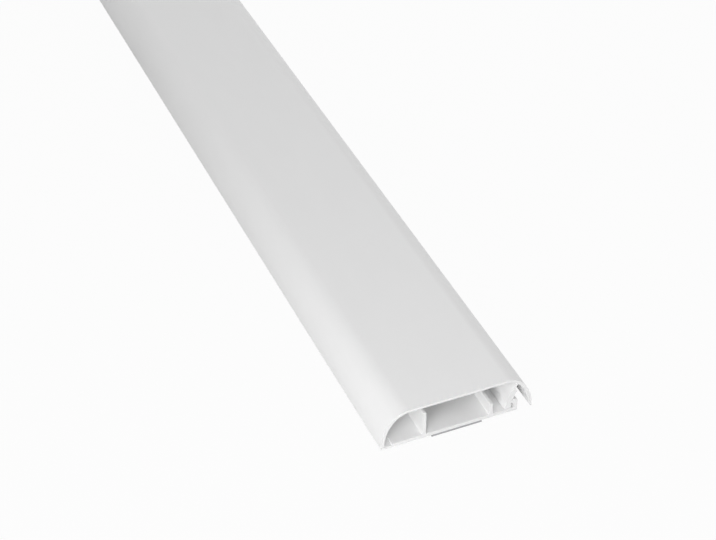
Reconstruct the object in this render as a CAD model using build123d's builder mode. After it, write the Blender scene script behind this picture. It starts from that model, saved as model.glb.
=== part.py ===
from build123d import *
import os
from math import asin, degrees, radians, tan

# A snap-shut cord raceway, extruded in white PVC: a flat base with two divider ribs, a cover that
# swings on a film hinge along the left edge and snaps over a catch along the right edge, and a
# strip of foam tape with its release liner under the base.

# Whole stock, in millimetres
LENGTH = 762.0
WIDTH = 70.0
HEIGHT = 17.8  # underside of the base to the top of the closed cover

# Cover
COVER_WALL = 1.2  # across the crown
SIDE_WALL = 1.9  # at the foot of each shoulder
LEFT_SHOULDER_RUN = 13.4  # width of the rounded shoulder above the hinge
RIGHT_SHOULDER_RUN = 12.2  # width of the rounded shoulder above the lip
LIP_BEVEL_RISE = 2.8  # height of the bevel inside the free lip
LIP_TIP_WIDTH = 0.7

# Film hinge, a quarter turn from the base's edge up to the cover's edge
HINGE_RADIUS = 1.2
HINGE_FILM = 0.6

# Base
BASE_THICKNESS = 1.7
BASE_SETBACK = 6.9  # from the cover's lip back to the base's free edge
BASE_CORNER_RADIUS = 0.6  # under the free edge
MARGIN_WIDTH = 4.2  # thinner strip of the base next to the hinge
MARGIN_THICKNESS = 0.9

# Divider ribs
RIB_WALL = 1.6
RIB_TIP_RADIUS = 0.4
RIB_ROOT_RADIUS = 0.5
LEFT_RIB_PLACE = 20.0  # middle of the rib, from the left side
LEFT_RIB_GAP = 2.9  # from the rib's tip up to the cover
RIGHT_RIB_PLACE = 19.2  # middle of the rib, from the right side
RIGHT_RIB_GAP = 8.9

# Catch along the base's free edge, with heights above the base's floor
CATCH_SIDE_RISE = 4.0
CATCH_TOP_RISE = 4.7
CATCH_TOP_INSET = 1.9
HOOK_REACH = 2.95
HOOK_RISE = 2.7
UNDERCUT_REACH = 1.6
UNDERCUT_DROP = 0.3  # how far the hook's underside falls from its tip to its root

# Leg under the cover, with heights above the base's floor and insets from the base's free edge
LATCH_CLEARANCE = 0.3
BARB_REACH = 0.7
FOOT_WIDTH = 2.9
ANKLE_RISE = 3.1  # where the foot starts to flare
ANKLE_WIDTH = 1.85
LEG_WAIST_RISE = 6.8
LEG_WAIST_INSET = 4.4
LEG_WAIST_WIDTH = 2.8
LEG_SHOULDER_RISE = 8.8
LEG_SHOULDER_INSET = 0.4
NECK_RISE = 10.7
NECK_INSET = 1.5
NECK_WIDTH = 0.85
NECK_LEAN = 38.0  # degrees from upright

# Adhesive backing
TAPE_WIDTH = 23.2
TAPE_THICKNESS = 0.8
LINER_THICKNESS = 0.2

# Places worked out from the sizes above: across from the left side, and up from the base's underside
BACKING = TAPE_THICKNESS + LINER_THICKNESS
BASE_EDGE = WIDTH - BASE_SETBACK
CEILING = HEIGHT - COVER_WALL
HOOK_TIP = (BASE_EDGE - HOOK_REACH, BASE_THICKNESS + HOOK_RISE)
SECTION = Plane(origin=(-WIDTH / 2, 0, BACKING), x_dir=(1, 0, 0), z_dir=(0, -1, 0))


def along_stock():
    """Extrude the pending section to the whole length, half each way from the middle."""
    extrude(amount=LENGTH / 2, both=True)


# Everything inside the outer face of the closed cover
with BuildSketch() as cover_outline:
    with BuildLine():
        left_centre = (LEFT_SHOULDER_RUN, HINGE_RADIUS)
        right_centre = (WIDTH - RIGHT_SHOULDER_RUN, 0)
        EllipticalCenterArc(left_centre, LEFT_SHOULDER_RUN, HEIGHT - HINGE_RADIUS, 90, arc_size=90)
        EllipticalCenterArc(right_centre, RIGHT_SHOULDER_RUN, HEIGHT, 0, arc_size=90)
        Line((left_centre[0], HEIGHT), (right_centre[0], HEIGHT))
        Polyline((0, HINGE_RADIUS), (SIDE_WALL, HINGE_RADIUS), (SIDE_WALL, 0), (WIDTH, 0))
    make_face()

# Cover: a wall that thickens down both shoulders, with a bevel inside the free lip
with BuildPart() as cover:
    with BuildSketch(SECTION):
        add(cover_outline.sketch)
        with BuildLine():
            left_run = LEFT_SHOULDER_RUN - SIDE_WALL
            right_run = RIGHT_SHOULDER_RUN - SIDE_WALL
            bevel_start = degrees(asin(LIP_BEVEL_RISE / CEILING))
            EllipticalCenterArc(left_centre, left_run, CEILING - HINGE_RADIUS, 90, arc_size=90)
            inner_right = EllipticalCenterArc(
                right_centre, right_run, CEILING, bevel_start, arc_size=90 - bevel_start
            )
            Line((left_centre[0], CEILING), (right_centre[0], CEILING))
            lip_tip = (WIDTH - LIP_TIP_WIDTH, 0)
            Polyline(inner_right @ 0, lip_tip, (SIDE_WALL, 0), (SIDE_WALL, HINGE_RADIUS))
        make_face(mode=Mode.SUBTRACT)
    along_stock()

    # Leg on a thin neck, with a barb that sits under the catch's hook
    with BuildSketch(SECTION):
        with BuildLine():
            foot_height = BASE_THICKNESS + LATCH_CLEARANCE
            barb_root = (HOOK_TIP[0] - LATCH_CLEARANCE, HOOK_TIP[1] - LATCH_CLEARANCE)
            barb_tip = (barb_root[0] + BARB_REACH, barb_root[1] - UNDERCUT_DROP)
            foot_inner = (barb_root[0] - FOOT_WIDTH, foot_height)
            ankle = (barb_root[0] - ANKLE_WIDTH, BASE_THICKNESS + ANKLE_RISE)
            waist_inner = (BASE_EDGE - LEG_WAIST_INSET, BASE_THICKNESS + LEG_WAIST_RISE)
            waist_outer = (waist_inner[0] + LEG_WAIST_WIDTH, waist_inner[1])
            leg_shoulder = (BASE_EDGE - LEG_SHOULDER_INSET, BASE_THICKNESS + LEG_SHOULDER_RISE)
            neck_outer = (BASE_EDGE - NECK_INSET, BASE_THICKNESS + NECK_RISE)
            neck_inner = (neck_outer[0] - NECK_WIDTH, neck_outer[1])
            neck_end = neck_outer[0] + (HEIGHT - neck_outer[1]) * tan(radians(NECK_LEAN))
            neck_top = ((neck_end - NECK_WIDTH, HEIGHT), (neck_end, HEIGHT))
            Line(foot_inner, ankle)
            ThreePointArc(ankle, waist_inner, neck_inner)
            Polyline(neck_inner, *neck_top, neck_outer, leg_shoulder)
            ThreePointArc(leg_shoulder, waist_outer, barb_root)
            Polyline(barb_root, barb_tip, (barb_root[0], foot_height), foot_inner)
        make_face()
        add(cover_outline.sketch, mode=Mode.INTERSECT)
    along_stock()

# Base: a floor with a thinner margin at the hinge, two ribs and a catch with a hook over its undercut
with BuildPart() as base:
    with BuildSketch(SECTION) as base_section:
        margin_end = HINGE_RADIUS + MARGIN_WIDTH
        undercut = BASE_EDGE - UNDERCUT_REACH
        with BuildLine():
            Polyline(
                (HINGE_RADIUS, 0),
                (BASE_EDGE, 0),
                (BASE_EDGE, BASE_THICKNESS + CATCH_SIDE_RISE),
                (BASE_EDGE - CATCH_TOP_INSET, BASE_THICKNESS + CATCH_TOP_RISE),
                HOOK_TIP,
                (undercut, HOOK_TIP[1] - UNDERCUT_DROP),
                (undercut, BASE_THICKNESS),
                (margin_end, BASE_THICKNESS),
                (margin_end, MARGIN_THICKNESS),
                (HINGE_RADIUS, MARGIN_THICKNESS),
                close=True,
            )
        make_face()
        free_edge = base_section.vertices().group_by(Axis.X)[-1]
        fillet(free_edge.sort_by(Axis.Y)[0], BASE_CORNER_RADIUS)
        left_rib = (LEFT_RIB_PLACE, CEILING - LEFT_RIB_GAP)
        right_rib = (WIDTH - RIGHT_RIB_PLACE, CEILING - RIGHT_RIB_GAP)
        for place, tip in (left_rib, right_rib):
            with Locations((place, 0)):
                Rectangle(RIB_WALL, tip, align=(Align.CENTER, Align.MIN))
            for level, radius in ((-1, RIB_TIP_RADIUS), (0, RIB_ROOT_RADIUS)):
                corners = base_section.vertices()
                rib_corners = corners.filter_by_position(Axis.X, place - RIB_WALL, place + RIB_WALL)
                fillet(rib_corners.group_by(Axis.Y)[level], radius)
    along_stock()

# Film hinge: a quarter ring that joins the base's edge to the cover's edge
with BuildPart() as hinge_strip:
    with BuildSketch(SECTION):
        hinge_centre = (HINGE_RADIUS, HINGE_RADIUS)
        film_inner = HINGE_RADIUS - HINGE_FILM
        with BuildLine():
            outer_bend = CenterArc(hinge_centre, HINGE_RADIUS, 180, 90)
            inner_bend = CenterArc(hinge_centre, film_inner, 180, 90)
            Line(outer_bend @ 0, inner_bend @ 0)
            Line(outer_bend @ 1, inner_bend @ 1)
        make_face()
    along_stock()

# Foam tape along the middle of the base, and the liner that peels off it
with BuildPart() as foam_tape:
    with BuildSketch(SECTION):
        with Locations((WIDTH / 2, 0)):
            Rectangle(TAPE_WIDTH, TAPE_THICKNESS, align=(Align.CENTER, Align.MAX))
    along_stock()

with BuildPart() as release_liner:
    with BuildSketch(SECTION):
        with Locations((WIDTH / 2, -TAPE_THICKNESS)):
            Rectangle(TAPE_WIDTH, LINER_THICKNESS, align=(Align.CENTER, Align.MAX))
    along_stock()

cover.part.label = "cover"
base.part.label = "base"
hinge_strip.part.label = "hinge_strip"
foam_tape.part.label = "foam_tape"
release_liner.part.label = "release_liner"

os.makedirs("parts", exist_ok=True)
for piece in (base, cover, hinge_strip, foam_tape, release_liner):
    export_step(piece.part, f"parts/{piece.part.label}.step")
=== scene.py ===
"""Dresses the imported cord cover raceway: finely made pieces, their finishes, and a small photo studio."""
import math

import bmesh
import bpy
from bpy.props import FloatProperty, FloatVectorProperty, IntProperty, PointerProperty
from bpy.types import Operator, Panel, PropertyGroup
from mathutils import Matrix, Quaternion, Vector, noise


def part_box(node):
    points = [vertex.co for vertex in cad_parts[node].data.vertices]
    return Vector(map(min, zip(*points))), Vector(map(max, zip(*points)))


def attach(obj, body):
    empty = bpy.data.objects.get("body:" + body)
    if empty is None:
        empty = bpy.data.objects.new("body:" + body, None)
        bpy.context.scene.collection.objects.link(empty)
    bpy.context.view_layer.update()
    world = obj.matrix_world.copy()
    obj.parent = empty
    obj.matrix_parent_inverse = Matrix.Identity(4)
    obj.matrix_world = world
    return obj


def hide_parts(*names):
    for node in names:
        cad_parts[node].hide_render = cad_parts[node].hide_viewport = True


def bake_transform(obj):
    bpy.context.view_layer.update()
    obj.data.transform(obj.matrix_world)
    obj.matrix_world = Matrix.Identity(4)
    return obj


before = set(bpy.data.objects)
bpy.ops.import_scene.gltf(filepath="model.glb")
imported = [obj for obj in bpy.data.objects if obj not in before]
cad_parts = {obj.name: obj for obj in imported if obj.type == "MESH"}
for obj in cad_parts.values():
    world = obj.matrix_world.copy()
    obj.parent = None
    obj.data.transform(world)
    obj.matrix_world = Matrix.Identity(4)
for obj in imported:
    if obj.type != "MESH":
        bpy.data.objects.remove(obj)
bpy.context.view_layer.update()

bl_info = {
    "name": "Cord Cover Raceway",
    "version": (1, 0, 0),
    "blender": (4, 5, 0),
    "location": "View3D > Sidebar > Raceway",
    "description": "Builds the looks of a snap-shut cord raceway around its packed frame",
    "category": "Object",
}

MM = 0.001
QUARTER = math.pi / 2
NEARLY = 1e-6
COVER_LOW, COVER_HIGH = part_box("cover")
BASE_LOW, BASE_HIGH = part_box("base")
FILM_LOW, FILM_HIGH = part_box("hinge_strip")
TAPE_LOW, TAPE_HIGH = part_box("foam_tape")
LINER_LOW, LINER_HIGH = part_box("release_liner")

# Meshes
CORNER_STEPS = 4  # in a rounded corner
SAW_STEPS = 2  # in the broken edge of a sawn end
FOOT_REACH = 1.0 * MM  # past the film hinge, where an edge still belongs to the cover's foot
SHARP = math.radians(30)  # edges that turn by more stay crisp in the shading
CUTS_A_SWING = 4  # along the tape, in one swing of its slit edges
SIDE_OFFSET = 10  # of each side of the tape in the noise that moves it, so that the two differ

# Patterns of the finishes, in swings a metre along X, Y and Z
DIE_LINES = (700, 1.2, 700)
FINE_LINES = (3200, 4, 3200)
MOTTLE = (90, 30, 90)
SAW_GRAIN = (6000, 6000, 6000)
SAW_TEETH = 5200  # outwards from the middle of the blade
FOAM_CELLS = 3000
FOAM_CLOUDS = (250, 250, 250)
LONG_FIBRES = (1800, 260, 1800)
CROSS_FIBRES = (300, 1500, 300)
PAPER_CLOUDS = (60, 60, 60)

# Other values of the finishes
BLADE_MIDDLE = (-0.07, 0, -0.1)  # of the saw that left the marks on the ends
SAWN_FACING = (0.8, 0.95)  # how squarely a face looks along the stock, from none to all of it sawn
PORE_SPAN = (0.15, 0.6)  # from the middle of a foam cell to its wall
SKIN_TONES = (0.985, 1.015)  # darkest and lightest, as factors of a finish's colour
# painted shade: the sawn ends are 8 to 20 per cent darker than the skin, the saw marks varying it within
# that
SAWN_SHADE_TONES = (0.80, 0.92)
# painted shade: foam pores darker towards their middles; the clouds give the foam's own uneven tone
FOAM_SHADE_AND_TONES = (0.78, 1.12)
PAPER_TONES = (0.93, 1.06)
MOTTLE_ROUGH = 0.06  # how much each pattern adds to the roughness
LINES_ROUGH = 0.05
CUT_ROUGH = 0.1
FOAM_ROUGH = (0.85, 0.1)  # least, and how much the clouds add
PAPER_ROUGH = (0.42, 0.14)  # least, and how much the fibres add
WIDE_SHARE = 0.6  # of the wide die lines; the fine ones have the rest, and so on for each pair
TEETH_SHARE = 0.7
PORES_SHARE = 0.75
LONG_SHARE = 0.6
FIBRES_SHARE = 0.6
LINES_DEPTH = 0.3  # of the die lines, as a share of the saw marks' depth
PLASTIC_RELIEF = 0.012 * MM
FOAM_RELIEF = 0.08 * MM
PAPER_RELIEF = 0.015 * MM

# Stage
SENSOR_WIDTH = 36.0  # of the camera, in millimetres
FLOOR_REACH = 6.0  # from the middle of the floor to its sides
FLOOR_GAP = 0.05 * MM  # between the floor and the liner
FLOOR_WHITE = 0.95  # share of plain white in the floor; the rest is lit and keeps the shadow
KEY_WAY = (-20, 45)  # azimuth and elevation of each lamp from the point that it faces, in degrees
SIDE_WAY = (90, 25)
BACK_WAY = (180, 40)
END_WAY = (-45, 25)
LOW_WAY = (-38, 5)
REAR_WAY = (142, 15)


# Sizes and settings that a user may change

def measure(name, description, metres):
    """A length, kept in metres."""
    return FloatProperty(
        name=name, description=description, default=metres, min=0.0, precision=5, unit="LENGTH"
    )


def share(name, description, value):
    """A number from 0 to 1."""
    return FloatProperty(
        name=name, description=description, default=value, min=0.0, max=1.0, subtype="FACTOR"
    )


def angle(name, description, degrees):
    """An angle, given in degrees."""
    return FloatProperty(
        name=name, description=description, default=math.radians(degrees), subtype="ANGLE"
    )


def paint(name, description, value):
    """A linear colour."""
    return FloatVectorProperty(
        name=name, description=description, default=value, size=3, min=0.0, max=1.0, subtype="COLOR"
    )


def spot(name, description, metres):
    """A place in the row frame."""
    return FloatVectorProperty(
        name=name, description=description, default=metres, size=3, subtype="TRANSLATION"
    )


def power(name, description, watts):
    """A lamp's power."""
    return FloatProperty(name=name, description=description, default=watts, min=0.0, unit="POWER")


class StockSizes(PropertyGroup):
    """Sizes that the pieces of the extrusion share."""

    width: measure("Width", "Width over the closed cover", COVER_HIGH.x - COVER_LOW.x)
    height: measure("Height", "Underside of the base to the top of the cover", COVER_HIGH.z - BASE_LOW.z)
    hinge_radius: measure("Hinge radius", "Outer radius of the film hinge", FILM_HIGH.z - FILM_LOW.z)
    film: measure("Hinge film", "Thickness of the film hinge", 0.6 * MM)
    floor: measure("Floor thickness", "Thickness of the base's floor", 1.7 * MM)
    free_edge: measure("Free edge", "Hinged side to the base's free edge", BASE_HIGH.x - COVER_LOW.x)
    hook_reach: measure("Hook reach", "Free edge to the tip of the catch's hook", 2.95 * MM)
    hook_rise: measure("Hook rise", "Floor to the tip of the catch's hook", 2.7 * MM)
    undercut_drop: measure("Undercut drop", "Fall of the hook's underside from its tip", 0.3 * MM)
    clearance: measure("Latch clearance", "Gap round the leg's foot", 0.3 * MM)
    edge_radius: measure("Edge radius", "Rounding that the die leaves on small corners", 0.12 * MM)
    saw_break: measure("Broken edge", "Width of the broken edge round a sawn end", 0.1 * MM)
    quarter_steps: IntProperty(
        name="Steps", description="Straight steps in a quarter turn of a curve", default=28, min=4, max=64
    )


class CoverSizes(PropertyGroup):
    """Sizes of the cover and of the latch leg under it."""

    crown_wall: measure("Crown wall", "Thickness across the top", 1.2 * MM)
    side_wall: measure("Side wall", "Thickness at the foot of each shoulder", 1.9 * MM)
    left_shoulder: measure("Left shoulder", "Width of the shoulder above the hinge", 13.4 * MM)
    right_shoulder: measure("Right shoulder", "Width of the shoulder above the lip", 12.2 * MM)
    lip_bevel: measure("Lip bevel", "Height of the bevel inside the lip", 2.8 * MM)
    lip_tip: measure("Lip tip", "Width left at the lip's tip", 0.7 * MM)
    barb_reach: measure("Barb reach", "How far the barb stands out", 0.7 * MM)
    foot_width: measure("Foot width", "Width of the leg's foot", 2.9 * MM)
    ankle_rise: measure("Ankle rise", "Floor to where the foot starts to flare", 3.1 * MM)
    ankle_width: measure("Ankle width", "Width of the leg above its foot", 1.85 * MM)
    waist_rise: measure("Waist rise", "Floor to the leg's middle", 6.8 * MM)
    waist_inset: measure("Waist inset", "Free edge back to the leg's inner face", 4.4 * MM)
    waist_width: measure("Waist width", "Width of the leg at its middle", 2.8 * MM)
    shoulder_rise: measure("Leg shoulder rise", "Floor to the leg's shoulder", 8.8 * MM)
    shoulder_inset: measure("Leg shoulder inset", "Free edge back to the leg's shoulder", 0.4 * MM)
    neck_rise: measure("Neck rise", "Floor to the foot of the neck", 10.7 * MM)
    neck_inset: measure("Neck inset", "Free edge back to the neck", 1.5 * MM)
    neck_width: measure("Neck width", "Width of the neck, measured level", 0.85 * MM)
    neck_lean: angle("Neck lean", "Lean of the neck from upright", 38.0)


class BaseSizes(PropertyGroup):
    """Sizes of the base, its divider ribs and its catch."""

    margin_width: measure("Margin width", "Thinner strip of floor next to the hinge", 4.2 * MM)
    margin: measure("Margin thickness", "Thickness of that strip", 0.9 * MM)
    rib_wall: measure("Rib wall", "Thickness of the divider ribs", 1.6 * MM)
    rib_tip: measure("Rib tip radius", "Rounding along the top of a rib", 0.4 * MM)
    rib_root: measure("Rib root radius", "Fillet along the foot of a rib", 0.5 * MM)
    left_rib: measure("Left rib place", "Hinged side to the middle of the tall rib", 20.0 * MM)
    left_rib_top: measure("Left rib top", "Underside to the tall rib's tip", BASE_HIGH.z - BASE_LOW.z)
    right_rib: measure("Right rib place", "Hinged side to the middle of the low rib", 50.8 * MM)
    right_rib_top: measure("Right rib top", "Underside to the low rib's tip", 7.7 * MM)
    catch_side: measure("Catch side", "Floor to the top of the catch's outer side", 4.0 * MM)
    catch_top: measure("Catch top", "Floor to the top of the catch", 4.7 * MM)
    catch_inset: measure("Catch inset", "Free edge back to the top of the catch", 1.9 * MM)
    undercut: measure("Undercut", "Free edge back to the wall under the hook", 1.6 * MM)
    corner: measure("Corner radius", "Rounding under the free edge", 0.6 * MM)


class TapeSizes(PropertyGroup):
    """Sizes of the adhesive backing."""

    bulge: measure("Tape bulge", "How far the tape's slit edges swell", 0.1 * MM)
    wander: measure("Tape wander", "How far the tape's slit edges wander", 0.06 * MM)
    pitch: measure("Wander pitch", "Length of one swing of the slit edges", 9.0 * MM)


class Finishes(PropertyGroup):
    """Colours and roughness of the pieces."""

    pvc: paint("PVC", "Rigid white PVC", (0.87, 0.87, 0.87))
    pvc_rough: share("PVC roughness", "Roughness of the extruded PVC", 0.55)
    pvc_sawn: share("Sawn PVC roughness", "Roughness of the PVC's sawn ends", 0.65)
    vinyl: paint("Vinyl", "Soft white vinyl of the film hinge", (0.85, 0.85, 0.845))
    vinyl_rough: share("Vinyl roughness", "Roughness of the vinyl", 0.36)
    vinyl_sawn: share("Sawn vinyl roughness", "Roughness of the vinyl's sawn ends", 0.5)
    foam: paint("Foam", "Closed-cell foam of the tape", (0.36, 0.36, 0.37))
    liner: paint("Liner", "Coated release paper", (0.48, 0.48, 0.49))


class StageSettings(PropertyGroup):
    """Camera and light."""

    azimuth: angle("Azimuth", "Turn of the camera from straight on to the near end", -22.65)
    elevation: angle("Elevation", "Height of the camera above the horizon", 38.33)
    roll: angle("Roll", "Roll of the camera", -0.56)
    distance: measure("Distance", "Camera to the point that it looks at", 0.6993)
    lens: FloatProperty(
        name="Lens", description="Focal length on a 36 mm sensor", default=93.0, min=1.0, unit="CAMERA"
    )
    aim: spot("Aim", "Point that the camera looks at", (-0.0441, -0.381, 0.0989))
    lit: spot("Lit point", "Point that the lamps face", (0.0, -0.33, 0.01))
    far: measure("Far lamps", "Distance of the large soft lamps from the point that they face", 1.6)
    soft_width: measure("Soft lamp width", "Side of each large square lamp", 1.4)
    near: measure("Near lamps", "Distance of the small lamps from the point that they face", 0.65)
    small_width: measure("Small lamp width", "Side of each small square lamp", 0.25)
    key: power("Key lamp", "Power of the large lamp high in front, a little to the left", 10.0)
    side: power("Side lamp", "Power of the large lamp on the right", 5.0)
    back: power("Back lamp", "Power of the large lamp behind the far end", 1.9)
    end: power("End lamp", "Power of the small lamp that lifts the near end", 0.6)
    low: power("Low lamp", "Power of the small low lamp that shines into the channels", 2.45)
    rear: power("Rear lamp", "Power of the small lamp that shines into the far end", 2.0)
    sky: share("Sky light", "Strength of the even light from all round", 0.35)
    floor: paint("Floor", "Pale studio floor", (0.6, 0.6, 0.6))


# Sections and the pieces run from them

def place(across, up):
    """A point in the near end's plane: across from the hinged side, and up from the base's underside."""
    return Vector((COVER_LOW.x + across, COVER_LOW.y, BASE_LOW.z + up))


def circle_centre(first, middle, last):
    """Centre of the circle through three points of a section."""
    one, two = Vector(middle) - Vector(first), Vector(last) - Vector(first)
    twice_area = 2 * one.cross(two)
    across = (two.y * one.length_squared - one.y * two.length_squared) / twice_area
    up = (one.x * two.length_squared - two.x * one.length_squared) / twice_area
    return Vector(first) + Vector((across, up))


def meets_ellipse(foot, lean, centre, run, rise):
    """Angle on an ellipse where a line that leans from a foot inside it comes out."""
    slope = math.tan(lean)
    offset = foot[0] - centre[0]
    height = foot[1] - centre[1]
    square = (slope / run) ** 2 + 1 / rise**2
    double = 2 * (offset * slope / run**2 + height / rise**2)
    rest = (offset / run) ** 2 + (height / rise) ** 2 - 1
    climb = (-double + math.sqrt(double**2 - 4 * square * rest)) / (2 * square)
    return math.atan2((height + climb) / rise, (offset + climb * slope) / run)


def soften(mesh, geom, width, steps, kind):
    """Round off some of a mesh's VERTICES or EDGES."""
    bmesh.ops.bevel(
        mesh, geom=geom, offset=width, segments=steps, profile=0.5, affect=kind, material=-1
    )


class Section:
    """An outline in the near end's plane, drawn point by point, then filled and run along the stock."""

    def __init__(self, stock):
        self.stock = stock
        self.mesh = bmesh.new()
        self.first = self.tip = None
        self.at = None
        self.rounded = {}

    def corner(self, across, up, radius=0.0):
        """Carry the outline straight on to a corner, which is rounded once the section is filled."""
        if self.tip is None:
            self.first = self.tip = self.mesh.verts.new(place(across, up))
        else:
            self.tip = bmesh.ops.extrude_vert_indiv(self.mesh, verts=[self.tip])["verts"][0]
            self.tip.co = place(across, up)
        self.at = (across, up)
        self.round(radius)

    def round(self, radius):
        """Round the outline's last point when the section is filled."""
        if radius:
            self.rounded.setdefault(radius, []).append(self.tip)

    def sweep(self, centre, turn):
        """Spin the last point about a centre, anticlockwise for a turn above 0. Gives the new points."""
        count = len(self.mesh.verts)
        turned = bmesh.ops.spin(
            self.mesh,
            geom=[self.tip],
            cent=place(*centre),
            axis=(0, -1, 0),
            angle=turn,
            steps=max(2, round(self.stock.quarter_steps * abs(turn) / QUARTER)),
            use_merge=False,
            use_normal_flip=False,
            use_duplicate=False,
        )
        self.tip = turned["geom_last"][0]
        return self.mesh.verts[:][count:]

    def arc(self, centre, run, rise, start, end, radius=0.0):
        """Carry the outline on along an ellipse from one angle to another: a circle, squeezed sideways."""
        self.corner(centre[0] + rise * math.cos(start), centre[1] + rise * math.sin(start))
        points = [self.tip, *self.sweep(centre, end - start)]
        hub = Matrix.Translation(-place(*centre))
        bmesh.ops.scale(self.mesh, vec=(run / rise, 1, 1), space=hub, verts=points)
        self.at = (centre[0] + run * math.cos(end), centre[1] + rise * math.sin(end))
        self.round(radius)

    def bend(self, middle, last, radius=0.0):
        """Carry the outline on along a circle, through a middle point to a last one."""
        centre = circle_centre(self.at, middle, last)
        start, end = Vector(self.at) - centre, Vector(last) - centre
        self.sweep(centre, -start.angle_signed(end))
        self.at = last
        self.round(radius)

    def run_along(self, low, high, saw_break=0.0):
        """Fill the outline, round its corners, run it along Y and break the edges of its sawn ends."""
        mesh = self.mesh
        bmesh.ops.contextual_create(mesh, geom=[self.tip, self.first])
        bmesh.ops.edgeloop_fill(mesh, edges=mesh.edges[:])
        for radius, corners in self.rounded.items():
            soften(mesh, corners, radius, CORNER_STEPS, "VERTICES")
        bmesh.ops.translate(mesh, vec=(0, low - COVER_LOW.y, 0), verts=mesh.verts[:])
        grown = bmesh.ops.extrude_face_region(mesh, geom=mesh.faces[:])["geom"]
        far = [item for item in grown if isinstance(item, bmesh.types.BMVert)]
        bmesh.ops.translate(mesh, vec=(0, high - low, 0), verts=far)
        bmesh.ops.recalc_face_normals(mesh, faces=mesh.faces[:])
        if saw_break:
            sawn = [edge for edge in mesh.edges if self.is_sawn(edge)]
            soften(mesh, sawn, saw_break, SAW_STEPS, "EDGES")
        return mesh

    def is_sawn(self, edge):
        """Is this edge on a sawn end, and not where the film hinge runs on into its neighbour?"""
        one, two = (vert.co for vert in edge.verts)
        seam = place(self.stock.hinge_radius, self.stock.hinge_radius)
        at_foot = max(one.x, two.x) < seam.x + FOOT_REACH
        level = abs(one.z - seam.z) + abs(two.z - seam.z) < NEARLY
        upright = abs(one.x - seam.x) + abs(two.x - seam.x) < NEARLY
        return abs(one.y - two.y) < NEARLY and not (level and at_foot) and not upright


def add_piece(name, mesh, finish, node, body=None):
    """Make an object of a finished mesh that stands for a CAD node, and let it ride on a body."""
    data = bpy.data.meshes.new(name)
    mesh.to_mesh(data)
    mesh.free()
    data.shade_smooth()
    data.set_sharp_from_angle(angle=SHARP)
    data.materials.append(finish)
    piece = bpy.data.objects.new(name, data)
    bpy.context.scene.collection.objects.link(piece)
    even = piece.modifiers.new("even_normals", "WEIGHTED_NORMAL")
    even.keep_sharp = True
    if body:
        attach(piece, body)
    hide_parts(node)
    return piece


def hook_tip(stock):
    """Tip of the hook on the base's catch."""
    return stock.free_edge - stock.hook_reach, stock.floor + stock.hook_rise


def draw_leg(section, stock, cover, right_centre, inner_run, ceiling):
    """Draw the latch leg: from the neck's outer side down round the foot, and up its inner side."""
    hook = hook_tip(stock)
    soft = stock.edge_radius
    foot = stock.floor + stock.clearance
    barb = (hook[0] - stock.clearance, hook[1] - stock.clearance)
    waist_up = stock.floor + cover.waist_rise
    waist = stock.free_edge - cover.waist_inset
    neck_up = stock.floor + cover.neck_rise
    neck = stock.free_edge - cover.neck_inset
    neck_inner = (neck - cover.neck_width, neck_up)
    wall = (right_centre, inner_run, ceiling)
    outer = meets_ellipse((neck, neck_up), cover.neck_lean, *wall)
    inner = meets_ellipse(neck_inner, cover.neck_lean, *wall)
    bevel = math.asin(cover.lip_bevel / ceiling)
    section.arc(*wall, bevel, outer, 2 * soft)
    section.corner(neck, neck_up, 2 * soft)
    section.corner(stock.free_edge - cover.shoulder_inset, stock.floor + cover.shoulder_rise, 2 * soft)
    section.bend((waist + cover.waist_width, waist_up), barb)
    section.corner(barb[0] + cover.barb_reach, barb[1] - stock.undercut_drop, soft)
    section.corner(barb[0], foot, soft)
    section.corner(barb[0] - cover.foot_width, foot, soft)
    section.corner(barb[0] - cover.ankle_width, stock.floor + cover.ankle_rise, soft)
    section.bend((waist, waist_up), neck_inner)
    section.arc(*wall, inner, QUARTER)


def draw_cover(stock, cover):
    """Draw the cover: over both shoulders to the lip, then back along the inside and round the leg."""
    section = Section(stock)
    soft = stock.edge_radius
    ceiling = stock.height - cover.crown_wall
    left_centre = (cover.left_shoulder, stock.hinge_radius)
    right_centre = (stock.width - cover.right_shoulder, 0.0)
    left_rise = stock.height - stock.hinge_radius
    section.arc(left_centre, cover.left_shoulder, left_rise, 2 * QUARTER, QUARTER)
    section.arc(right_centre, cover.right_shoulder, stock.height, QUARTER, 0.0, 2 * soft)
    section.corner(stock.width - cover.lip_tip, 0.0, 2 * soft)
    draw_leg(section, stock, cover, right_centre, cover.right_shoulder - cover.side_wall, ceiling)
    inner_rise = ceiling - stock.hinge_radius
    section.arc(left_centre, cover.left_shoulder - cover.side_wall, inner_rise, QUARTER, 2 * QUARTER, soft)
    return section


def draw_base(stock, base):
    """Draw the base: up at the hinge, over the floor and both ribs, round the catch and back below."""
    section = Section(stock)
    soft = stock.edge_radius
    hook = hook_tip(stock)
    margin_end = stock.hinge_radius + base.margin_width
    undercut = stock.free_edge - base.undercut
    section.corner(stock.hinge_radius, 0.0)
    section.corner(stock.hinge_radius, base.margin)
    section.corner(margin_end, base.margin, soft)
    section.corner(margin_end, stock.floor, soft)
    for middle, top in ((base.left_rib, base.left_rib_top), (base.right_rib, base.right_rib_top)):
        low, high = middle - base.rib_wall / 2, middle + base.rib_wall / 2
        section.corner(low, stock.floor, base.rib_root)
        section.corner(low, top, base.rib_tip)
        section.corner(high, top, base.rib_tip)
        section.corner(high, stock.floor, base.rib_root)
    section.corner(undercut, stock.floor, soft)
    section.corner(undercut, hook[1] - stock.undercut_drop, soft)
    section.corner(*hook, soft)
    section.corner(stock.free_edge - base.catch_inset, stock.floor + base.catch_top, 3 * soft)
    section.corner(stock.free_edge, stock.floor + base.catch_side, 3 * soft)
    section.corner(stock.free_edge, 0.0, base.corner)
    return section


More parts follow.
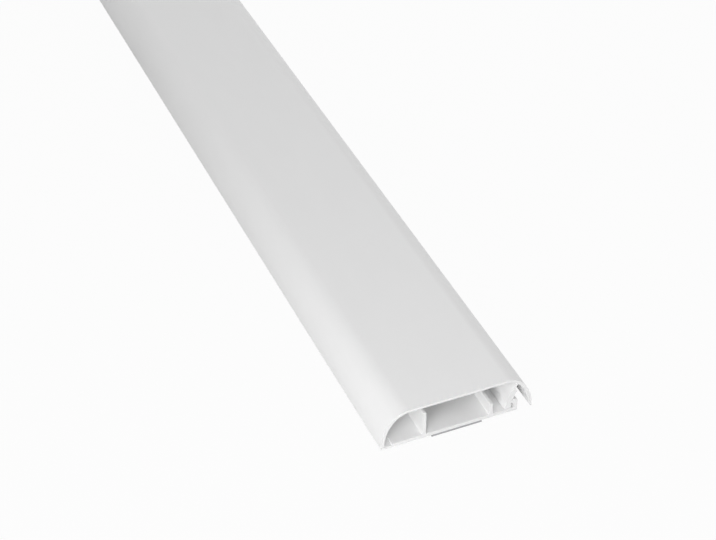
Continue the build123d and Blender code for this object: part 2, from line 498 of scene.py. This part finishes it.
def draw_film(stock):
    """Draw the film hinge: a quarter ring from the cover's foot down to the base's edge."""
    section = Section(stock)
    centre = (stock.hinge_radius, stock.hinge_radius)
    inner = stock.hinge_radius - stock.film
    section.arc(centre, stock.hinge_radius, stock.hinge_radius, 2 * QUARTER, 3 * QUARTER)
    section.arc(centre, inner, inner, 3 * QUARTER, 2 * QUARTER)
    return section


def draw_tape(stock, tape):
    """Draw the tape: flat above and below, with slit edges that swell a little."""
    section = Section(stock)
    left, right = TAPE_LOW.x - COVER_LOW.x, TAPE_HIGH.x - COVER_LOW.x
    low, high = TAPE_LOW.z - BASE_LOW.z, TAPE_HIGH.z - BASE_LOW.z
    middle = (low + high) / 2
    section.corner(left + tape.bulge, low)
    section.bend((left, middle), (left + tape.bulge, high))
    section.corner(right - tape.bulge, high)
    section.bend((right, middle), (right - tape.bulge, low))
    return section


def draw_liner(stock):
    """Draw the release liner, a strip of coated paper with crisp edges."""
    section = Section(stock)
    left, right = LINER_LOW.x - COVER_LOW.x, LINER_HIGH.x - COVER_LOW.x
    low, high = LINER_LOW.z - BASE_LOW.z, LINER_HIGH.z - BASE_LOW.z
    crisp = stock.edge_radius / 2
    section.corner(left, low, crisp)
    section.corner(left, high, crisp)
    section.corner(right, high, crisp)
    section.corner(right, low, crisp)
    return section


def wander_edges(mesh, tape):
    """Let the tape's slit edges wander inwards along its length."""
    long_edges = [edge for edge in mesh.edges if abs(edge.verts[0].co.y - edge.verts[1].co.y) > NEARLY]
    length = TAPE_HIGH.y - TAPE_LOW.y
    cuts = round(CUTS_A_SWING * length / tape.pitch)
    bmesh.ops.subdivide_edges(mesh, edges=long_edges, cuts=cuts, use_grid_fill=True)
    step = length / (cuts + 1)
    for vert in mesh.verts:
        # The cuts drift by a hair, from one end or the other, so each is put back in its place
        vert.co.y = TAPE_LOW.y + step * round((vert.co.y - TAPE_LOW.y) / step)
        side = math.copysign(1.0, vert.co.x)
        swing = noise.noise((side * SIDE_OFFSET, vert.co.y / tape.pitch, 0.0))
        vert.co.x -= side * tape.wander * (0.5 + 0.5 * swing)


# Finishes

class Socket:
    """An output of a node tree that takes part in Python sums: each sum adds its Math node."""

    def __init__(self, tree, output):
        self.tree = tree
        self.output = output

    def also(self, name):
        """Another output of the same node."""
        return Socket(self.tree, self.output.node.outputs[name])

    def math(self, operation, *values):
        """Add a Math node that works on sockets and numbers."""
        return self.tree.node("ShaderNodeMath", {"operation": operation}, dict(enumerate(values)))

    def __add__(self, other):
        return self.math("ADD", self, other)

    def __sub__(self, other):
        return self.math("SUBTRACT", self, other)

    def __rsub__(self, other):
        return self.math("SUBTRACT", other, self)

    def __mul__(self, other):
        return self.math("MULTIPLY", self, other)

    def __abs__(self):
        return self.math("ABSOLUTE", self)

    __radd__ = __add__
    __rmul__ = __mul__


class NodeTree:
    """A shader's nodes, made one by one."""

    def __init__(self, owner):
        owner.use_nodes = True
        self.nodes = owner.node_tree.nodes
        self.links = owner.node_tree.links
        self.nodes.clear()

    def node(self, kind, settings=None, inputs=None, output=0):
        """Add a node: first its settings, then its sockets' values or links. Gives one of its outputs."""
        made = self.nodes.new(kind)
        for name, value in (settings or {}).items():
            setattr(made, name, value)
        for name, value in (inputs or {}).items():
            if isinstance(value, Socket):
                self.links.new(value.output, made.inputs[name])
            else:
                made.inputs[name].default_value = value
        return Socket(self, made.outputs[output]) if made.outputs else None

    def stretched_noise(self, where, scale, detail=2.0):
        """Noise with its own number of swings in a metre along each axis."""
        sockets = {"Vector": where, "Scale": scale}
        spread = self.node("ShaderNodeMapping", {"vector_type": "POINT"}, sockets)
        return self.node("ShaderNodeTexNoise", {}, {"Vector": spread, "Scale": 1.0, "Detail": detail})

    def between(self, mask, low, high):
        """A mask spread from 0 at low to 1 at high, with soft ends."""
        settings = {"interpolation_type": "SMOOTHSTEP", "clamp": True}
        sockets = {"Value": mask, "From Min": low, "From Max": high}
        return self.node("ShaderNodeMapRange", settings, sockets)

    def mixed(self, mask, first, second):
        """A colour between two colours."""
        colours = {0: mask, 6: first, 7: second}
        return self.node("ShaderNodeMix", {"data_type": "RGBA", "clamp_factor": True}, colours, output=2)

    def toned(self, mask, colour, tones):
        """A colour that goes from its darkest to its lightest tone with a mask."""
        darkest, lightest = tones
        return self.mixed(mask, shade(colour, darkest), shade(colour, lightest))

    def bump(self, height, distance):
        """Relief of a height from 0 to 1 that stands for a distance in metres."""
        return self.node("ShaderNodeBump", {}, {"Strength": 1.0, "Distance": distance, "Height": height})

    def surface(self, **sockets):
        """Finish the tree with a Principled shader."""
        inputs = {name.replace("_", " ").title(): value for name, value in sockets.items()}
        shader = self.node("ShaderNodeBsdfPrincipled", {}, inputs, output="BSDF")
        self.node("ShaderNodeOutputMaterial", {}, {"Surface": shader})


def shade(colour, factor):
    """A colour made lighter or darker by a factor, as a node takes it."""
    return (*(min(1.0, channel * factor) for channel in colour), 1.0)


def together(first, second, share_of_first):
    """Two patterns in one, of which the first has a share and the second has the rest."""
    return first * share_of_first + second * (1 - share_of_first)


def extruded(name, colour, rough, sawn_rough):
    """White extruded plastic: die lines along the stock, a faint mottle, and saw marks on the ends, whose
    colour is also darkened as painted shade.
    """
    material = bpy.data.materials.new(name)
    tree = NodeTree(material)
    where = tree.node("ShaderNodeTexCoord", output="Object")
    facing = tree.node("ShaderNodeSeparateXYZ", {}, {0: where.also("Normal")}, output="Y")
    sawn = tree.between(abs(facing), *SAWN_FACING)
    wide_lines = tree.stretched_noise(where, DIE_LINES)
    fine_lines = tree.stretched_noise(where, FINE_LINES, detail=1.0)
    mottle = tree.stretched_noise(where, MOTTLE, detail=3.0)
    lines = together(wide_lines, fine_lines, WIDE_SHARE)
    blade = tree.node("ShaderNodeVectorMath", {"operation": "MULTIPLY"}, {0: where, 1: (1, 0, 1)})
    blade = tree.node("ShaderNodeVectorMath", {"operation": "SUBTRACT"}, {0: blade, 1: BLADE_MIDDLE})
    reach = tree.node("ShaderNodeVectorMath", {"operation": "LENGTH"}, {0: blade}, output="Value")
    sockets = {"W": reach, "Scale": SAW_TEETH, "Detail": 2.0}
    teeth = tree.node("ShaderNodeTexNoise", {"noise_dimensions": "1D"}, sockets)
    grain = tree.stretched_noise(where, SAW_GRAIN)
    cut = together(teeth, grain, TEETH_SHARE)
    skin = 1 - sawn
    least_rough = rough - (MOTTLE_ROUGH + LINES_ROUGH) / 2
    skin_rough = mottle * MOTTLE_ROUGH + lines * LINES_ROUGH + least_rough
    skin_colour = tree.toned(mottle, colour, SKIN_TONES)
    # painted shade: the sawn ends get a darker colour than the skin, its tone varied by the saw marks
    shaded_sawn_colour = tree.toned(cut, colour, SAWN_SHADE_TONES)
    tree.surface(
        base_color=tree.mixed(sawn, skin_colour, shaded_sawn_colour),
        roughness=skin_rough * skin + (cut * CUT_ROUGH + sawn_rough) * sawn,
        normal=tree.bump(lines * skin * LINES_DEPTH + cut * sawn, PLASTIC_RELIEF),
    )
    return material


def foam(colour):
    """Closed-cell foam: small open pores on the slit sides, painted darker inside as painted shade."""
    material = bpy.data.materials.new("grey_foam")
    tree = NodeTree(material)
    where = tree.node("ShaderNodeTexCoord", output="Object")
    sockets = {"Vector": where, "Scale": FOAM_CELLS}
    cells = tree.node("ShaderNodeTexVoronoi", {"feature": "SMOOTH_F1"}, sockets)
    clouds = tree.stretched_noise(where, FOAM_CLOUDS, detail=3.0)
    pores = tree.between(cells, *PORE_SPAN)
    least_rough, more_rough = FOAM_ROUGH
    tree.surface(
        # painted shade: the pores are darker towards their middles, where their relief is lowest; the
        # clouds vary the foam's own tone
        base_color=tree.toned(together(pores, clouds, PORES_SHARE), colour, FOAM_SHADE_AND_TONES),
        roughness=least_rough + clouds * more_rough,
        normal=tree.bump(pores, FOAM_RELIEF),
    )
    return material


def release_paper(colour):
    """Coated release paper: fibres under a slightly shiny coat."""
    material = bpy.data.materials.new("grey_liner")
    tree = NodeTree(material)
    where = tree.node("ShaderNodeTexCoord", output="Object")
    long_fibres = tree.stretched_noise(where, LONG_FIBRES, detail=3.0)
    cross_fibres = tree.stretched_noise(where, CROSS_FIBRES, detail=3.0)
    clouds = tree.stretched_noise(where, PAPER_CLOUDS, detail=3.0)
    fibres = together(long_fibres, cross_fibres, LONG_SHARE)
    least_rough, more_rough = PAPER_ROUGH
    tree.surface(
        base_color=tree.toned(together(fibres, clouds, FIBRES_SHARE), colour, PAPER_TONES),
        roughness=least_rough + fibres * more_rough,
        normal=tree.bump(fibres, PAPER_RELIEF),
    )
    return material


# Stage

def seen_directly(tree):
    """A mask of the rays that see a surface itself: straight, in gloss or through glass."""
    camera = tree.node("ShaderNodeLightPath", output="Is Camera Ray")
    gloss = camera.math("MAXIMUM", camera, camera.also("Is Glossy Ray"))
    return camera.math("MAXIMUM", gloss, camera.also("Is Transmission Ray"))


def pale_floor(stage):
    """A floor that looks white and keeps a soft shadow, and that throws back plain light."""
    material = bpy.data.materials.new("pale_floor")
    tree = NodeTree(material)
    lit = tree.node("ShaderNodeBsdfDiffuse", {}, {"Color": (*stage.floor, 1.0)})
    white = tree.node("ShaderNodeEmission", {}, {"Color": (1, 1, 1, 1), "Strength": 1.0})
    whiteness = seen_directly(tree) * FLOOR_WHITE
    shaded = tree.node("ShaderNodeMixShader", {}, {0: whiteness, 1: lit, 2: white})
    tree.node("ShaderNodeOutputMaterial", {}, {"Surface": shaded})
    return material


def even_sky(stage):
    """A world that looks white and lights the object evenly."""
    world = bpy.data.worlds.new("even_sky")
    tree = NodeTree(world)
    light = tree.node("ShaderNodeBackground", {}, {"Color": (1, 1, 1, 1), "Strength": stage.sky})
    white = tree.node("ShaderNodeBackground", {}, {"Color": (1, 1, 1, 1), "Strength": 1.0})
    shown = tree.node("ShaderNodeMixShader", {}, {0: seen_directly(tree), 1: light, 2: white})
    tree.node("ShaderNodeOutputWorld", {}, {"Surface": shown})
    return world


def bearing(azimuth, elevation):
    """Way to something round the object: an azimuth from straight in front, and a height above level."""
    level = math.cos(elevation)
    return Vector((math.sin(azimuth) * level, -math.cos(azimuth) * level, math.sin(elevation)))


def add_lamp(name, watts, way, distance, width, lit):
    """A square lamp that faces a point of the stock, and that no camera sees."""
    data = bpy.data.lights.new(name, "AREA")
    data.energy = watts
    data.size = width
    lamp = bpy.data.objects.new(name, data)
    lamp.visible_camera = False
    bpy.context.scene.collection.objects.link(lamp)
    azimuth, elevation = way
    away = bearing(math.radians(azimuth), math.radians(elevation))
    lamp.location = Vector(lit) + away * distance
    lamp.rotation_mode = "QUATERNION"
    lamp.rotation_quaternion = (-away).to_track_quat("-Z", "Y")
    return lamp


def add_camera(stage):
    """The camera at the photograph's viewing angle."""
    data = bpy.data.cameras.new("photo_camera")
    data.sensor_width = SENSOR_WIDTH
    data.lens = stage.lens
    camera = bpy.data.objects.new("photo_camera", data)
    bpy.context.scene.collection.objects.link(camera)
    away = bearing(stage.azimuth, stage.elevation)
    camera.location = Vector(stage.aim) + away * stage.distance
    camera.rotation_mode = "QUATERNION"
    camera.rotation_quaternion = (-away).to_track_quat("-Z", "Y") @ Quaternion((0, 0, 1), stage.roll)
    bpy.context.scene.camera = camera


def add_floor(stage):
    """A wide level floor under the object."""
    mesh = bmesh.new()
    bmesh.ops.create_grid(mesh, x_segments=1, y_segments=1, size=FLOOR_REACH)
    data = bpy.data.meshes.new("studio_floor")
    mesh.to_mesh(data)
    mesh.free()
    data.transform(Matrix.Translation((0, 0, LINER_LOW.z - FLOOR_GAP)))
    data.materials.append(pale_floor(stage))
    floor = bpy.data.objects.new("studio_floor", data)
    bpy.context.scene.collection.objects.link(floor)


# Operators and panel

class RACEWAY_OT_cover(Operator):
    """Build the film hinge"""

    bl_idname = "raceway.cover"
    bl_label = "Cover"

    def execute(self, context):
        scene = context.scene
        look = scene.raceway_finishes
        finish = extruded("white_pvc_cover", look.pvc, look.pvc_rough, look.pvc_sawn)
        section = draw_cover(scene.raceway_stock, scene.raceway_cover)
        mesh = section.run_along(COVER_LOW.y, COVER_HIGH.y, scene.raceway_stock.saw_break)
        add_piece("cover_extrusion", mesh, finish, "cover", "cover")
        return {"FINISHED"}


class RACEWAY_OT_base(Operator):
    """Build the base with its ribs and catch"""

    bl_idname = "raceway.base"
    bl_label = "Base"

    def execute(self, context):
        scene = context.scene
        look = scene.raceway_finishes
        finish = extruded("white_pvc_base", look.pvc, look.pvc_rough, look.pvc_sawn)
        section = draw_base(scene.raceway_stock, scene.raceway_base)
        mesh = section.run_along(BASE_LOW.y, BASE_HIGH.y, scene.raceway_stock.saw_break)
        add_piece("base_extrusion", mesh, finish, "base", "base")
        return {"FINISHED"}


class RACEWAY_OT_film(Operator):
    """Build the film hinge, which bends as the cover swings"""

    bl_idname = "raceway.film"
    bl_label = "Film hinge"

    def execute(self, context):
        scene = context.scene
        stock, look = scene.raceway_stock, scene.raceway_finishes
        finish = extruded("hinge_vinyl", look.vinyl, look.vinyl_rough, look.vinyl_sawn)
        mesh = draw_film(stock).run_along(FILM_LOW.y, FILM_HIGH.y, stock.saw_break)
        piece = add_piece("film_hinge", mesh, finish, "hinge_strip")
        inner = stock.hinge_radius - stock.film
        start = place(stock.hinge_radius, stock.hinge_radius - inner)
        end = place(stock.hinge_radius - inner, stock.hinge_radius)
        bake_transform(piece)
        return {"FINISHED"}


class RACEWAY_OT_backing(Operator):
    """Build the foam tape and its release liner"""

    bl_idname = "raceway.backing"
    bl_label = "Adhesive backing"

    def execute(self, context):
        scene = context.scene
        stock, tape, look = scene.raceway_stock, scene.raceway_tape, scene.raceway_finishes
        mesh = draw_tape(stock, tape).run_along(TAPE_LOW.y, TAPE_HIGH.y)
        wander_edges(mesh, tape)
        add_piece("tape_strip", mesh, foam(look.foam), "foam_tape", "base")
        mesh = draw_liner(stock).run_along(LINER_LOW.y, LINER_HIGH.y)
        paper = release_paper(look.liner)
        add_piece("liner_strip", mesh, paper, "release_liner", "base")
        return {"FINISHED"}


class RACEWAY_OT_stage(Operator):
    """Set up the floor, the lamps, the sky and the camera"""

    bl_idname = "raceway.stage"
    bl_label = "Stage"

    def execute(self, context):
        stage = context.scene.raceway_stage
        add_floor(stage)
        add_lamp("key_lamp", stage.key, KEY_WAY, stage.far, stage.soft_width, stage.lit)
        add_lamp("side_lamp", stage.side, SIDE_WAY, stage.far, stage.soft_width, stage.lit)
        add_lamp("back_lamp", stage.back, BACK_WAY, stage.far, stage.soft_width, stage.lit)
        end_lamp = add_lamp("end_lamp", stage.end, END_WAY, stage.near, stage.small_width, stage.lit)
        low_lamp = add_lamp("low_lamp", stage.low, LOW_WAY, stage.near, stage.small_width, stage.lit)
        far_end = (stage.lit[0], -stage.lit[1], stage.lit[2])
        rear_lamp = add_lamp("rear_lamp", stage.rear, REAR_WAY, stage.near, stage.small_width, far_end)
        for lamp in (end_lamp, low_lamp, rear_lamp):
            lamp.visible_glossy = False
        context.scene.world = even_sky(stage)
        add_camera(stage)
        context.scene.view_settings.view_transform = "Standard"
        return {"FINISHED"}


class RACEWAY_PT_panel(Panel):
    """Lists the raceway's operators and settings"""

    bl_idname = "RACEWAY_PT_panel"
    bl_label = "Raceway"
    bl_space_type = "VIEW_3D"
    bl_region_type = "UI"
    bl_category = "Raceway"

    def draw(self, context):
        for operator in OPERATORS:
            self.layout.operator(operator.bl_idname)
        for group in GROUPS:
            box = self.layout.box()
            for name in GROUPS[group].__annotations__:
                box.prop(getattr(context.scene, group), name)


OPERATORS = (
    RACEWAY_OT_cover,
    RACEWAY_OT_base,
    RACEWAY_OT_film,
    RACEWAY_OT_backing,
    RACEWAY_OT_stage,
)
GROUPS = {
    "raceway_stock": StockSizes,
    "raceway_cover": CoverSizes,
    "raceway_base": BaseSizes,
    "raceway_tape": TapeSizes,
    "raceway_finishes": Finishes,
    "raceway_stage": StageSettings,
}


def register():
    """Add the settings, the operators and the panel to Blender."""
    for group, kind in GROUPS.items():
        bpy.utils.register_class(kind)
        setattr(bpy.types.Scene, group, PointerProperty(type=kind))
    for kind in (*OPERATORS, RACEWAY_PT_panel):
        bpy.utils.register_class(kind)


def unregister():
    """Take the panel, the operators and the settings out of Blender again."""
    for kind in (RACEWAY_PT_panel, *reversed(OPERATORS)):
        bpy.utils.unregister_class(kind)
    for group, kind in reversed(GROUPS.items()):
        delattr(bpy.types.Scene, group)
        bpy.utils.unregister_class(kind)


def main():
    """Build every piece and the stage."""
    register()
    bpy.ops.raceway.cover()
    bpy.ops.raceway.base()
    bpy.ops.raceway.film()
    bpy.ops.raceway.backing()
    bpy.ops.raceway.stage()


if __name__ == "__main__":
    main()
